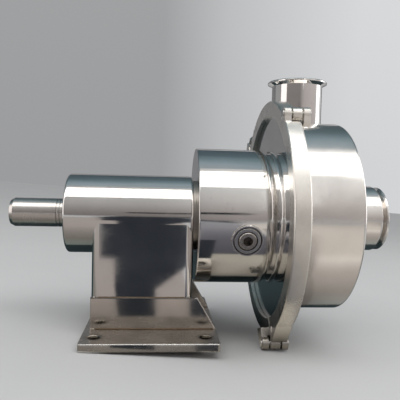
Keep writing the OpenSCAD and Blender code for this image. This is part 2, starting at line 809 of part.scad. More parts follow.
module closing_bolt() {
    eye_w = closure_slot - 2 * run_gap;
    eye_r = closure_ear_r - run_gap;
    reach = bolt_reach + run_gap + washer_t + nut_t + nut_travel + bolt_tail;
    color("gray") at_angle(-closure_angle) difference() {
        union() {
            cross_pin(clamp_mid, bolt_pivot_run, bolt_radius, eye_w, eye_r);
            translate([clamp_mid, bolt_pivot_run, bolt_radius]) rotate([90, 0, 0])
                cylinder(h = reach, d = bolt_d);
        }
        cross_pin(clamp_mid, bolt_pivot_run, bolt_radius, closure_w, closure_pin_d / 2 + pin_gap);
    }
}

module closing_bolt_pin() {
    color("silver") at_angle(-closure_angle) {
        cross_pin(clamp_mid, bolt_pivot_run, bolt_radius, closure_w + 2 * pin_head_t, closure_pin_d / 2);
    }
}

module closing_nut() {
    chamfer_d = nut_af * hex_corner;
    color("gray") bolt_axis() translate([0, 0, washer_t]) difference() {
        intersection() {
            cylinder(h = nut_t, d = chamfer_d, $fn = 6);
            translate([0, 0, -nut_t]) cylinder(h = 3 * nut_t, d = chamfer_d * 0.97);
        }
        translate([0, 0, -over]) cylinder(h = nut_t + 2 * over, d = bolt_d + 2 * pin_gap);
    }
}

module closing_washer() {
    color("silver") bolt_axis() difference() {
        cylinder(h = washer_t, d = washer_d);
        translate([0, 0, -over]) cylinder(h = washer_t + 2 * over, d = bolt_d + 2 * pin_gap);
    }
}

module shaft() {
    r = shaft_d / 2;
    b = shaft_bevel;
    g = groove_depth;
    g1 = housing_x0 - groove_from_housing;
    g0 = g1 - groove_spacing;
    clip_de = bearing_de_x0 - circlip_t - 2 * run_gap;
    clip_pe = bearing_pe_x0 + bearing_w + run_gap;
    seat_r = seat_d / 2;
    step_x = chamber_x1 - chamber_len / 4;
    end_x = nut_x1 - 3 * run_gap - thread_d / 4;
    color("darkgray") difference() {
        along_x(0) rotate_extrude($fn = round_fn) difference() {
            polygon([[0, shaft_x0], [r - b / 2, shaft_x0], [r, shaft_x0 + b], [r, clip_de - circlip_t],
                [seat_r, clip_de - circlip_t], [seat_r, shoulder_x0],
                [shoulder_d / 2, shoulder_x0], [shoulder_d / 2, shoulder_x1], [seat_r, shoulder_x1],
                [seat_r, clip_pe + 2 * circlip_t], [r, clip_pe + 2 * circlip_t], [r, step_x],
                [seal_shaft_d / 2, step_x], [seal_shaft_d / 2, disc_x0],
                [impeller_shaft_d / 2, disc_x0], [impeller_shaft_d / 2, hub_x1 - 2 * run_gap],
                [thread_d / 2, hub_x1 - 2 * run_gap], [thread_d / 2, end_x], [0, end_x]]);
            for (x = [g0, g1]) translate([r - g, x - groove_w / 2]) square([2 * g, groove_w]);
            for (x = [clip_de, clip_pe]) translate([seat_r - circlip_t / 2, x])
                square([circlip_t, circlip_t + run_gap]);
        }
        along_x(disc_x0 + vane_gap) translate([-impeller_shaft_d / 2 - key_h / 2, -key_w / 2, 0])
            cube([key_h, key_w, key_len]);
    }
}

key_w = 6;
key_h = 6;
key_len = hub_x1 - disc_x0 - 4 * vane_gap;

module impeller_key() {
    color("gray") along_x(disc_x0 + vane_gap + seat_gap)
        translate([-impeller_shaft_d / 2 - key_h / 2 + seat_gap, -key_w / 2 + seat_gap, 0])
            cube([key_h - 2 * seat_gap, key_w - 2 * seat_gap, key_len - 2 * seat_gap]);
}

// Ball bearing parts, each from station x
module outer_race(x) {
    r = bearing_od / 2;
    color("lightsteelblue") along_x(x) rotate_extrude($fn = round_fn) difference() {
        translate([r - race_wall, 0]) square([race_wall, bearing_w]);
        translate([pitch_r, bearing_w / 2]) circle(ball_d / 2 + run_gap / 2);
    }
}

module inner_race(x) {
    r = bearing_bore / 2;
    color("lightsteelblue") along_x(x) rotate_extrude($fn = round_fn) difference() {
        translate([r, 0]) square([race_wall, bearing_w]);
        translate([pitch_r, bearing_w / 2]) circle(ball_d / 2 + run_gap / 2);
    }
}

module balls(x) {
    color("white") along_x(x + bearing_w / 2) for (i = [0:ball_count - 1])
        rotate([0, 0, i * 360 / ball_count]) translate([pitch_r, 0, 0]) sphere(d = ball_d);
}

module cage(x) {
    w = ball_d + 2 * cage_wall;
    color("goldenrod") along_x(x + (bearing_w - w) / 2) difference() {
        cylinder(h = w, r = pitch_r + cage_wall / 2, $fn = round_fn);
        translate([0, 0, -over]) cylinder(h = w + 2 * over, r = pitch_r - cage_wall / 2, $fn = round_fn);
        for (i = [0:ball_count - 1]) rotate([0, 0, i * 360 / ball_count])
            translate([pitch_r, 0, w / 2]) rotate([0, 90, 0])
                cylinder(h = 2 * cage_wall, d = ball_d + pin_gap, center = true);
    }
}

module drive_end_outer_race() { outer_race(bearing_de_x0); }
module drive_end_inner_race() { inner_race(bearing_de_x0); }
module drive_end_balls() { balls(bearing_de_x0); }
module drive_end_cage() { cage(bearing_de_x0); }
module pump_end_outer_race() { outer_race(bearing_pe_x0); }
module pump_end_inner_race() { inner_race(bearing_pe_x0); }
module pump_end_balls() { balls(bearing_pe_x0); }
module pump_end_cage() { cage(bearing_pe_x0); }

// Lip seal from station x, with its lip just clear of the shaft
module lip_seal(x) {
    lip_t = 1.5;
    color("black") tube_x(x, x + lip_seal_w - run_gap, bearing_od / 2, shaft_d / 2 + lip_t);
    color("black")
        tube_x(x + lip_seal_w / 3, x + lip_seal_w / 2, bearing_od / 2 - lip_t, shaft_d / 2 + pin_gap);
}

module drive_end_lip_seal() { lip_seal(housing_x0); }
module pump_end_lip_seal() { lip_seal(housing_x1 - lip_seal_w + run_gap); }

module housing_circlips() {
    inset = 3;
    for (x = [bearing_de_x0 - circlip_t - run_gap, bearing_pe_x0 + bearing_w + run_gap + seat_gap])
        color("dimgray")
            tube_x(x, x + circlip_t, bearing_od / 2 + circlip_t - seat_gap, bearing_od / 2 - inset);
}

module shaft_circlips() {
    outset = 2;
    for (x = [bearing_de_x0 - circlip_t - run_gap, bearing_pe_x0 + bearing_w + run_gap + seat_gap])
        color("dimgray") tube_x(x, x + circlip_t, seat_d / 2 + outset, seat_d / 2 - circlip_t / 2 + seat_gap);
}

// Ring on the shaft inside the seal chamber that throws leakage off before the bearing
module slinger() {
    slinger_t = 6;
    slinger_r = shaft_d / 2 + slinger_t;
    x = chamber_x0 + chamber_end_t + slinger_t;
    color("black") tube_x(x, x + slinger_t, slinger_r, shaft_d / 2 + seat_gap);
}

module seal_seat() {
    r_out = seal_ring_d / 2 + 2 * o_ring_d / 3;
    color("white") tube_x(seat_ring_x0, seat_ring_x1, r_out, seal_shaft_d / 2 + 2 * run_gap);
}

module seal_seat_o_ring() {
    r_in = seal_ring_d / 2 + 2 * o_ring_d / 3;
    section = seal_seat_d / 2 - r_in;
    color("black") along_x(seat_ring_x0 + seat_ring_t / 3) rotate_extrude($fn = round_fn)
        translate([r_in + section / 2, 0]) circle(d = section, $fn = small_fn);
}

module seal_face_ring() {
    color("dimgray")
        tube_x(face_ring_x0 + seat_gap, face_ring_x1, seal_ring_d / 2, seal_shaft_d / 2 + seat_gap);
}

collar_t = 7;

module seal_collar() {
    x1 = disc_x0 - seat_gap;
    color("silver") tube_x(x1 - collar_t, x1, seal_ring_d / 2, seal_shaft_d / 2 + seat_gap);
}

// Folded metal bellows that pushes the rotating face against the seat
module seal_bellows() {
    r_in = seal_shaft_d / 2 + 2 * leaf_t;
    r_out = seal_ring_d / 2 - leaf_t;
    x0 = face_ring_x1 + seat_gap;
    x1 = disc_x0 - collar_t - 2 * seat_gap;
    fold = (x1 - x0 - leaf_t) / bellows_folds;
    color("gray") along_x(x0) rotate_extrude($fn = round_fn) {
        translate([r_in, 0]) square([leaf_t, x1 - x0]);
        for (k = [0:bellows_folds]) translate([r_in, k * fold]) square([r_out - r_in, leaf_t]);
    }
}

// Curved vane, swept back as it runs from the hub to the rim
module vane() {
    r0 = hub_d / 2 - vane_t / 2;
    r1 = impeller_d / 2 - run_gap;
    sweep = 70;
    steps = 12;
    function edge(k, side) =
        let (s = k / steps, r = r0 + (r1 - r0) * s, a = side * asin(vane_t / 2 / r) - sweep * s)
        [r * cos(a), r * sin(a)];
    polygon(concat([for (k = [0:steps]) edge(k, 1)], [for (k = [steps:-1:0]) edge(k, -1)]));
}

module impeller() {
    color("silver") difference() {
        union() {
            bar_x(disc_x0, vane_x0, impeller_d / 2);
            bar_x(disc_x0, hub_x1, hub_d / 2);
            along_x(vane_x0 - seat_gap) linear_extrude(vane_w) for (i = [0:vane_count - 1])
                rotate(i * 360 / vane_count) vane();
        }
        bar_x(disc_x0 - over, hub_x1 + over, impeller_shaft_d / 2 + seat_gap);
        along_x(disc_x0 - over)
            translate([-impeller_shaft_d / 2 - key_h / 2 - seat_gap, -key_w / 2 - seat_gap, 0])
                cube([key_h, key_w + 2 * seat_gap, hub_x1 - disc_x0 + 2 * over]);
    }
}

module impeller_nut() {
    r = hub_d * 0.42;
    color("silver") along_x(0) rotate_extrude($fn = round_fn) difference() {
        polygon([[0, hub_x1 + seat_gap], [r, hub_x1 + seat_gap], [r, hub_x1 + nut_len / 3],
            [r * 0.8, hub_x1 + nut_len * 0.7], [r * 0.4, nut_x1], [0, nut_x1 + run_gap]]);
        translate([0, hub_x1 - over])
            square([thread_d / 2 + seat_gap, nut_len + over - 2 * run_gap - thread_d / 4]);
    }
}

base_plate();
pedestal_box();
side_plate_front();
side_plate_rear();
bearing_housing();
weld_neck();
seal_chamber();
port_boss();
port_plug();
plug_washer();
back_plate();
casing_drum();
suction_hub();
suction_ferrule();
discharge_ferrule();
casing_o_ring();
clamp_front_segment();
clamp_upper_segment();
clamp_lower_segment();
top_hinge_pin();
bottom_hinge_pin();
closing_bolt();
closing_bolt_pin();
closing_nut();
closing_washer();
shaft();
drive_end_outer_race();
drive_end_inner_race();
drive_end_balls();
drive_end_cage();
pump_end_outer_race();
pump_end_inner_race();
pump_end_balls();
pump_end_cage();
drive_end_lip_seal();
pump_end_lip_seal();
housing_circlips();
shaft_circlips();
slinger();
seal_seat();
seal_seat_o_ring();
seal_face_ring();
seal_bellows();
seal_collar();
impeller();
impeller_key();
impeller_nut();
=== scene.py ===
import json
import math

import bpy
from mathutils import Matrix, Quaternion, Vector


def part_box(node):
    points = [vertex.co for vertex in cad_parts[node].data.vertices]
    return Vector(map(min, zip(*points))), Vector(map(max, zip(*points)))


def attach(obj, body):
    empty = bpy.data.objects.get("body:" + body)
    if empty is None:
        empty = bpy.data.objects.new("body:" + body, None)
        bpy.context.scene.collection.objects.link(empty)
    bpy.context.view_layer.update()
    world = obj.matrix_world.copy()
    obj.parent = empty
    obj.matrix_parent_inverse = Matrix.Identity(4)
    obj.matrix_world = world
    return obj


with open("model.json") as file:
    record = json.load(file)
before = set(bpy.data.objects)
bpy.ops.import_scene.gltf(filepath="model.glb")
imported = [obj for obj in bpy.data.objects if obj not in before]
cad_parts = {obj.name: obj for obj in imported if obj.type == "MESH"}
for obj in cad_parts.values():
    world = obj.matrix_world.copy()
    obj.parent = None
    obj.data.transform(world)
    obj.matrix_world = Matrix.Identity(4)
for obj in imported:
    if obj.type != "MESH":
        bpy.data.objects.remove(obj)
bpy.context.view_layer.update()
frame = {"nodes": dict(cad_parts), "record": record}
nodes = frame["nodes"]
scene = bpy.context.scene
scene.view_settings.view_transform = "Standard"

# Places on the part, in metres, from the frame
MM = 0.001
mounts = {m["name"]: m for m in frame["record"]["mounts"]}
AXIS = mounts["shaft_end"]["pos_m"][2]
foot_dims = mounts["foot_holes"]["dims"]
FOOT_X = foot_dims["spacing_x_mm"] / 2 * MM
FOOT_Y = foot_dims["spacing_y_mm"] / 2 * MM
FOOT_HOLE_R = foot_dims["hole_r_mm"] * MM
plate_low, plate_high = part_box("base_plate")
box_low, box_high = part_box("pedestal_box")
side_low, side_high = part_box("side_plate_front")
plug_low, plug_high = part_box("port_plug")

# The side port's own axis runs out to the front and slopes down by the drop
PORT_POINT = ((plug_low.x + plug_high.x) / 2, 0, AXIS)
PORT_DROP = math.radians(14)
PORT_AXIS = (0, -math.cos(PORT_DROP), -math.sin(PORT_DROP))


# Node trees
NOISE_LOW, NOISE_HIGH = 0.3, 0.7
BEVEL_SAMPLES = 6


class Tree:
    """The node tree of a material or world, with short calls for making and joining nodes."""

    def __init__(self, owner):
        self.owner = owner
        owner.use_nodes = True
        self.nodes = owner.node_tree.nodes
        self.links = owner.node_tree.links

    def feed(self, socket, value):
        """Joins an output to a socket, or sets a constant on it."""
        if hasattr(value, "is_output"):
            self.links.new(value, socket)
        else:
            socket.default_value = value

    def add(self, kind, inputs=None, **props):
        n = self.nodes.new(kind)
        for k, v in props.items():
            setattr(n, k, v)
        for k, v in (inputs or {}).items():
            self.feed(n.inputs[k], v)
        return n

    def coords(self, scale=(1, 1, 1)):
        """The point in the shared frame, scaled along each axis."""
        tc = self.add("ShaderNodeTexCoord")
        mp = self.add("ShaderNodeMapping", {"Vector": tc.outputs["Object"], "Scale": scale})
        return mp.outputs["Vector"]

    def split(self, vector):
        """A vector's X, Y and Z, by name."""
        return self.add("ShaderNodeSeparateXYZ", {0: vector}).outputs

    def noise(self, vector, scale, detail=4.0, rough=0.55):
        inputs = {"Vector": vector, "Scale": scale, "Detail": detail, "Roughness": rough}
        return self.add("ShaderNodeTexNoise", inputs).outputs["Fac"]

    def ramp(self, fac, stops):
        """A tone that follows fac from stop to stop."""
        n = self.add("ShaderNodeValToRGB", {"Fac": fac})
        elements = n.color_ramp.elements
        while len(elements) < len(stops):
            elements.new(0.5)
        for e, (pos, col) in zip(elements, stops):
            e.position = pos
            e.color = (*col, 1.0)
        return n.outputs["Color"]

    def span(self, value, low, high, a, b, **props):
        """Carries value from the span low to high over to the span a to b, and stops there."""
        inputs = {"Value": value, "From Min": low, "From Max": high, "To Min": a, "To Max": b}
        return self.add("ShaderNodeMapRange", inputs, **props).outputs["Result"]

    def spread(self, noise, a, b):
        """Carries the middle of a noise over to the span a to b."""
        return self.span(noise, NOISE_LOW, NOISE_HIGH, a, b)

    def math(self, op, a, b=0.0):
        n = self.add("ShaderNodeMath", {0: a, 1: b}, operation=op)
        return n.outputs["Value"]

    def mix(self, fac, a, b, blend="MIX"):
        n = self.add("ShaderNodeMix", {0: fac, 6: a, 7: b}, data_type="RGBA", blend_type=blend)
        return n.outputs[2]

    def bump(self, height, strength, distance, normal=None):
        inputs = {"Height": height, "Strength": strength, "Distance": distance}
        if normal is not None:
            inputs["Normal"] = normal
        return self.add("ShaderNodeBump", inputs).outputs["Normal"]

    def bevel(self, radius):
        """A normal that rounds sharp edges to this radius."""
        return self.add("ShaderNodeBevel", {"Radius": radius}, samples=BEVEL_SAMPLES).outputs["Normal"]

    def axis_distance(self, point, axis):
        """Distance from the line through point along axis, in the shared frame."""
        off = self.add("ShaderNodeVectorMath", {0: self.coords(), 1: point}, operation="SUBTRACT")
        inputs = {0: off.outputs["Vector"], 1: axis}
        cross = self.add("ShaderNodeVectorMath", inputs, operation="CROSS_PRODUCT")
        length = self.add("ShaderNodeVectorMath", {0: cross.outputs["Vector"]}, operation="LENGTH")
        return length.outputs["Value"]

    def set(self, **sockets):
        """Feeds the material's shader and returns the material."""
        names = {"color": "Base Color", "metal": "Metallic", "rough": "Roughness", "normal": "Normal",
                 "specular": "Specular IOR Level"}
        shader = self.nodes["Principled BSDF"]
        for k, v in sockets.items():
            self.feed(shader.inputs[names[k]], v)
        return self.owner


def material_tree(name):
    return Tree(bpy.data.materials.new(name))


# A stain and painted light and shade: each function darkens or brightens the tone at places on one piece
DARK = (0.045, 0.038, 0.030, 1.0)
PALE = (0.93, 0.92, 0.89, 1.0)
SINK_IN, SINK_OUT = FOOT_HOLE_R + 1.15 * MM, FOOT_HOLE_R + 1.65 * MM
STAIN_IN, STAIN_OUT = FOOT_HOLE_R + 2.55 * MM, FOOT_HOLE_R + 6.75 * MM
STAIN, END_DARKENING, FRONT_HIGHLIGHT = 0.45, 0.40, 0.45
END_DARK_FROM, END_DARK_TO = -25 * MM, 20 * MM
FRONT_FROM, FRONT_TO = plate_low.y + 1.0 * MM, plate_low.y + 0.4 * MM
CORNER_FROM, CORNER_TO = plate_high.z - 2.2 * MM, plate_high.z - 0.8 * MM


def foot_stain_and_painted_light(t, tone):
    """Painted shade in the countersinks, a stain about each, darker towards the +X end, and a painted
    highlight on the front face and its top edge.
    """
    holes = [(x, y, 0) for x in (-FOOT_X, FOOT_X) for y in (-FOOT_Y, FOOT_Y)]
    distances = [t.axis_distance(hole, (0, 0, 1)) for hole in holes]
    d = distances[0]
    for other in distances[1:]:
        d = t.math("MINIMUM", other, d)
    tone = t.mix(t.span(d, STAIN_IN, STAIN_OUT, STAIN, 0.0), tone, DARK)
    # Painted shade: each hole and its countersink are painted dark.
    tone = t.mix(t.span(d, SINK_IN, SINK_OUT, 1.0, 0.0), tone, DARK)
    place = t.split(t.coords())
    # Darker towards the +X end.
    tone = t.mix(t.span(place["X"], END_DARK_FROM, END_DARK_TO, 0.0, END_DARKENING), tone, DARK)
    # Painted highlight: the front face is lightened and its top edge is painted pale.
    front = t.span(place["Y"], FRONT_FROM, FRONT_TO, 0.0, 1.0)
    tone = t.mix(t.math("MULTIPLY", front, FRONT_HIGHLIGHT), tone, PALE)
    corner = t.span(place["Z"], CORNER_FROM, CORNER_TO, 0.0, 1.0)
    return t.mix(t.math("MULTIPLY", front, corner), tone, PALE)


GROOVES = ((8.6 * MM, 0.7 * MM), (12.5 * MM, 0.8 * MM))
GROOVE_CORE_SHARE = 0.4
SOCKET_IN, SOCKET_OUT = 4.0 * MM, 4.7 * MM
GROOVE_SHADE, SOCKET_SHADE = 0.92, 0.85


def port_painted_shade(t, tone):
    """Painted shade in the two ring grooves of the port and in the plug's socket."""
    d = t.axis_distance(PORT_POINT, PORT_AXIS)
    for groove, half in GROOVES:
        off = t.math("ABSOLUTE", t.math("SUBTRACT", d, groove))
        tone = t.mix(t.span(off, GROOVE_CORE_SHARE * half, half, GROOVE_SHADE, 0.0), tone, DARK)
    return t.mix(t.span(d, SOCKET_IN, SOCKET_OUT, SOCKET_SHADE, 0.0), tone, DARK)


RING_FROM, RING_TO = 20 * MM, 2 * MM
RING_REFLECTION_DARK = 0.62


def ring_painted_reflection(t, tone):
    """A painted dark reflection: the clamp ring is darker towards its bottom, about its bottom hinge."""
    return t.mix(t.span(t.split(t.coords())["Z"], RING_FROM, RING_TO, 0.0, RING_REFLECTION_DARK), tone, DARK)


SEAM_FROM, SEAM_TO = side_high.z - 1.2 * MM, side_high.z - 0.6 * MM
SEAM_END_FROM, SEAM_END_TO = 40 * MM, 42 * MM
SEAM_SHADE = 0.8


def side_painted_shade(t, tone):
    """A painted shade line under the weld along the side plate's top edge."""
    place = t.split(t.coords())
    high = t.span(place["Z"], SEAM_FROM, SEAM_TO, 0.0, SEAM_SHADE)
    line = t.math("MULTIPLY", high, t.span(place["X"], SEAM_END_FROM, SEAM_END_TO, 1.0, 0.0))
    return t.mix(line, tone, DARK)


# Metals
GRAIN_DEPTH = 0.2 * MM
CLOUD_SCALE, SPECK_SCALE = 28.0, 240.0
SPECK_LOW, SPECK_HIGH = 0.60, 0.72
SPECK = (0.10, 0.08, 0.06, 1.0)


def metal(name, color, rough, spread, blotch, grain_bump, grain=(1, 1, 1), grain_scale=900.0,
          edge=0.6 * MM, dirt=0.0, shade=None):
    """Bare metal: grain, a cloudy tone, roughness that drifts, and softened edges.

    The grain is drawn out along the axes where grain is small. shade is a function that adds its own stain,
    painted shade or painted highlights to the tone.
    """
    t = material_tree(name)
    plain = t.coords()
    fine = t.noise(t.coords(grain), grain_scale, detail=3.0, rough=0.6)
    cloud = t.noise(plain, CLOUD_SCALE, detail=5.0, rough=0.6)
    low = tuple(c * (1 - blotch) for c in color) + (1.0,)
    high = tuple(min(1.0, c * (1 + blotch)) for c in color) + (1.0,)
    tone = t.mix(t.spread(cloud, 0.0, 1.0), low, high)
    if dirt > 0:
        specks = t.noise(plain, SPECK_SCALE, detail=6.0, rough=0.7)
        specks = t.span(specks, SPECK_LOW, SPECK_HIGH, 0.0, dirt)
        tone = t.mix(specks, tone, SPECK)
    if shade:
        tone = shade(t, tone)
    drift = t.spread(cloud, rough - spread, rough + spread)
    roughness = t.math("ADD", drift, t.spread(fine, -spread / 2, spread / 2))
    normal = t.bump(fine, grain_bump, GRAIN_DEPTH, t.bevel(edge) if edge else None)
    return t.set(color=tone, metal=1.0, rough=roughness, normal=normal)


POLISHED = (0.80, 0.78, 0.76)
TURNED = (0.70, 0.69, 0.67)
PLUG = (0.50, 0.47, 0.44)
PLATE = (0.52, 0.48, 0.43)
ALONG, ALONG_FINE = (0.06, 1, 1), (0.15, 1, 1)
AROUND, AROUND_FINE, AROUND_COARSE = (1, 0.1, 0.1), (1, 0.05, 0.05), (3.0, 0.05, 0.05)

MIRROR = dict(color=POLISHED, rough=0.085, spread=0.03, blotch=0.04,
              grain=ALONG_FINE, grain_scale=700.0, grain_bump=0.015, dirt=0.14)
BRUSHED = dict(color=PLATE, rough=0.27, spread=0.09, blotch=0.16, grain=ALONG, grain_bump=0.07, dirt=0.45)

MATS = {}
MATS["polished_steel"] = metal("polished steel", **MIRROR)
MATS["satin_steel"] = metal("satin steel", (0.80, 0.77, 0.74), rough=0.15, spread=0.04, blotch=0.07,
                            grain=AROUND_FINE, grain_bump=0.05, dirt=0.10)
MATS["brushed_plate"] = metal("brushed plate", **BRUSHED)
MATS["turned_steel"] = metal("turned steel", TURNED, rough=0.25, spread=0.05, blotch=0.06,
                             grain=AROUND, grain_bump=0.04)
MATS["shaft_steel"] = metal("shaft steel", (0.66, 0.63, 0.60), rough=0.24, spread=0.05, blotch=0.08,
                            grain=AROUND_COARSE, grain_bump=0.10)
MATS["weld_bead"] = metal("weld bead", (0.42, 0.39, 0.36), rough=0.42, spread=0.10, blotch=0.20,
                          grain_scale=500.0, grain_bump=0.25)
MATS["plug_steel"] = metal("plug steel", PLUG, rough=0.30, spread=0.08, blotch=0.12,
                           grain_bump=0.08, dirt=0.25)
MATS["cast_steel"] = metal("cast steel", (0.66, 0.64, 0.60), rough=0.36, spread=0.06, blotch=0.08,
                           grain_scale=1400.0, grain_bump=0.15)
MATS["bearing_steel"] = metal("bearing steel", (0.75, 0.76, 0.77), rough=0.10, spread=0.02, blotch=0.03,
                              grain=AROUND, grain_bump=0.02)
MATS["circlip_steel"] = metal("circlip steel", (0.10, 0.10, 0.10), rough=0.35, spread=0.06, blotch=0.20,
                              grain_bump=0.05)
MATS["cage_brass"] = metal("cage brass", (0.78, 0.58, 0.26), rough=0.22, spread=0.05, blotch=0.05,
                           grain=AROUND, grain_bump=0.04)
# The clamp ring is painted darker towards its bottom: a painted dark reflection.
MATS["clamp_steel"] = metal("clamp steel", (0.84, 0.81, 0.76), rough=0.31, spread=0.07, blotch=0.08,
                            grain_scale=1100.0, grain_bump=0.08, edge=0.9 * MM, dirt=0.15, shade=ring_painted_reflection)
box_steel = metal("box steel", edge=0, **MIRROR)
# The side plates get a painted shade line along their top edge.
side_steel = metal("side plate steel", (0.74, 0.70, 0.65), rough=0.12, spread=0.04, blotch=0.08,
                   grain=ALONG, grain_scale=700.0, grain_bump=0.03,
                   edge=1.4 * MM, dirt=0.35, shade=side_painted_shade)
# The base plate: painted shade in its countersinks, a stain about each, darker towards the +X end, and a
# painted highlight on its front.
base_steel = metal("base steel", edge=1.6 * MM, shade=foot_stain_and_painted_light, **BRUSHED)
# Boss, washer and plug: painted shade in the port's grooves and the plug's socket.
boss_steel = metal("boss steel", POLISHED, rough=0.10, spread=0.03, blotch=0.04,
                   grain_scale=700.0, grain_bump=0.02, dirt=0.2, shade=port_painted_shade)
ring_steel = metal("ring steel", TURNED, rough=0.20, spread=0.05, blotch=0.06,
                   grain_bump=0.04, dirt=0.2, shade=port_painted_shade)
head_steel = metal("head steel", PLUG, rough=0.28, spread=0.08, blotch=0.12,
                   grain_bump=0.08, dirt=0.25, shade=port_painted_shade)

# Nodes with a steel of their own, in place of their slot's
OWN = {"side_plate_front": side_steel, "side_plate_rear": side_steel, "base_plate": base_steel,
       "pedestal_box": box_steel, "port_boss": boss_steel, "plug_washer": ring_steel, "port_plug": head_steel}


# Rubber, carbon and ceramic
MATTE_CLOUD_SCALE = 60.0
MATTE_ROUGH_DRIFT = 0.05
MATTE_EDGE = 0.3 * MM


def matte(name, color, rough, drift, tooth_scale, tooth_bump):
    """A fine tooth, and a tone that drifts a little."""
    t = material_tree(name)
    v = t.coords()
    fine = t.noise(v, tooth_scale, rough=0.6)
    low = tuple(max(0.0, c - drift) for c in color) + (1.0,)
    high = tuple(min(1.0, c + drift) for c in color) + (1.0,)
    tone = t.mix(t.noise(v, MATTE_CLOUD_SCALE, detail=3.0), low, high)
    return t.set(color=tone, metal=0.0,
                 rough=t.spread(fine, rough - MATTE_ROUGH_DRIFT, rough + MATTE_ROUGH_DRIFT),
                 normal=t.bump(fine, tooth_bump, GRAIN_DEPTH, t.bevel(MATTE_EDGE)))


MATS["gasket_black"] = matte("gasket black", (0.03, 0.03, 0.03), rough=0.55, drift=0.012,
                             tooth_scale=600.0, tooth_bump=0.1)
MATS["seal_ceramic"] = matte("seal ceramic", (0.86, 0.85, 0.81), rough=0.22, drift=0.02,
                             tooth_scale=900.0, tooth_bump=0.03)
MATS["seal_carbon"] = matte("seal carbon", (0.055, 0.055, 0.058), rough=0.38, drift=0.012,
                            tooth_scale=700.0, tooth_bump=0.05)

slot_of = {s["node"]: s["material_slot"] for s in frame["record"]["subparts"]}
for name, obj in nodes.items():
    obj.data.materials.clear()
    obj.data.materials.append(OWN.get(name, MATS[slot_of[name]]))


def mesh_object(name, verts, faces, mat):
    """A new mesh in the scene, with one material."""
    mesh = bpy.data.meshes.new(name)
    mesh.from_pydata([tuple(v) for v in verts], [], faces)
    mesh.materials.append(mat)
    obj = bpy.data.objects.new(name, mesh)
    scene.collection.objects.link(obj)
    return obj


def new_object(name, verts, faces, mat, body):
    """A smooth piece that is part of the object and rides a body."""
    obj = mesh_object(name, verts, faces, mat)
    obj.data.validate()
    for p in obj.data.polygons:
        p.use_smooth = True
    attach(obj, body)


# Weld beads
BEAD_STEEL = metal("bead steel", (0.13, 0.095, 0.065), rough=0.50, spread=0.10, blotch=0.30,
                   grain_scale=500.0, grain_bump=0.30, edge=0, dirt=0.6)
BEAD_STEP = 0.6 * MM
BEAD_SIDES = 10
BEAD_TAPER = 2.0 * MM
BEAD_TIP_SHARE = 0.15
RIPPLE_PITCH = 2.2 * MM
RIPPLE_SHARE = 0.16
UNEVEN_TURN = 0.977 / MM
UNEVEN_SHARE = 0.08


def bead(name, start, end, radius):
    """A rippled weld bead laid along a straight joint."""
    start, end = Vector(start), Vector(end)
    length = (end - start).length
    run = (end - start) / length
    side = run.orthogonal().normalized()
    lift = run.cross(side)
    rows = int(length / BEAD_STEP)
    verts, faces = [], []
    for i in range(rows + 1):
        at = length * i / rows
        taper = min(1.0, min(at, length - at) / BEAD_TAPER + BEAD_TIP_SHARE)
        ripple = RIPPLE_SHARE * abs(math.sin(math.pi * at / RIPPLE_PITCH))
        uneven = UNEVEN_SHARE * math.sin(UNEVEN_TURN * at)
        r = radius * taper * (1.0 + ripple + uneven)
        for j in range(BEAD_SIDES):
            a = 2 * math.pi * j / BEAD_SIDES
            verts.append(start + run * at + (side * math.cos(a) + lift * math.sin(a)) * r)
    for i in range(rows):
        near, far = i * BEAD_SIDES, (i + 1) * BEAD_SIDES
        for j in range(BEAD_SIDES):
            k = (j + 1) % BEAD_SIDES
            faces.append((near + j, near + k, far + k, far + j))
    faces.append(tuple(reversed(range(BEAD_SIDES))))
    faces.append(tuple(rows * BEAD_SIDES + j for j in range(BEAD_SIDES)))
    new_object(name, verts, faces, BEAD_STEEL, "pump_body")


FOOT_BEAD_R, TOP_BEAD_R = 1.05 * MM, 0.75 * MM
SEAM_INSET = 1.2 * MM
foot_x = (box_low.x + 4 * MM, side_high.x - 2 * MM)
top_x = (box_low.x + 6 * MM, box_high.x - 6 * MM)
half_width = -side_low.y
for label, s in (("front", -1), ("rear", 1)):
    foot_ends = [(x, s * half_width, plate_high.z) for x in foot_x]
    top_ends = [(x, s * (half_width - SEAM_INSET), side_high.z) for x in top_x]
    bead("foot_weld_" + label, *foot_ends, FOOT_BEAD_R)
    bead("top_weld_" + label, *top_ends, TOP_BEAD_R)


# Floor and cards
CARD_ROUGH = 0.9


def stage_object(name, verts, faces, mat, seen=True):
    """A stage piece; an unseen one shows in reflections only."""
    obj = mesh_object(name, verts, faces, mat)
    obj.visible_camera = obj.visible_shadow = obj.visible_diffuse = seen
    return obj


def card(name, corners, mat):
    """An unseen flat card, given the corners that it spans."""
    return stage_object(name, corners, [tuple(range(len(corners)))], mat, False)


def card_material(name, low, high, scale):
    """A matte card or floor, cloudy between two tones."""
    t = material_tree(name)
    tone = t.mix(t.noise(t.coords(), scale), (*low, 1.0), (*high, 1.0))
    return t.set(color=tone, rough=CARD_ROUGH, specular=0.0)


def graded_card(name, stops, scale, wander=4 * MM):
    """A matte card whose tone follows its own Y; the tone's place wanders by this many metres."""
    t = material_tree(name)
    low, high = stops[0][0], stops[-1][0]
    share = wander / (high - low)
    drift = t.spread(t.noise(t.coords(), scale, detail=3.0), -share, share)
    fac = t.math("ADD", t.span(t.split(t.coords())["Y"], low, high, 0.0, 1.0), drift)
    places = [((p - low) / (high - low), c) for p, c in stops]
    return t.set(color=t.ramp(fac, places), rough=CARD_ROUGH, specular=0.0)


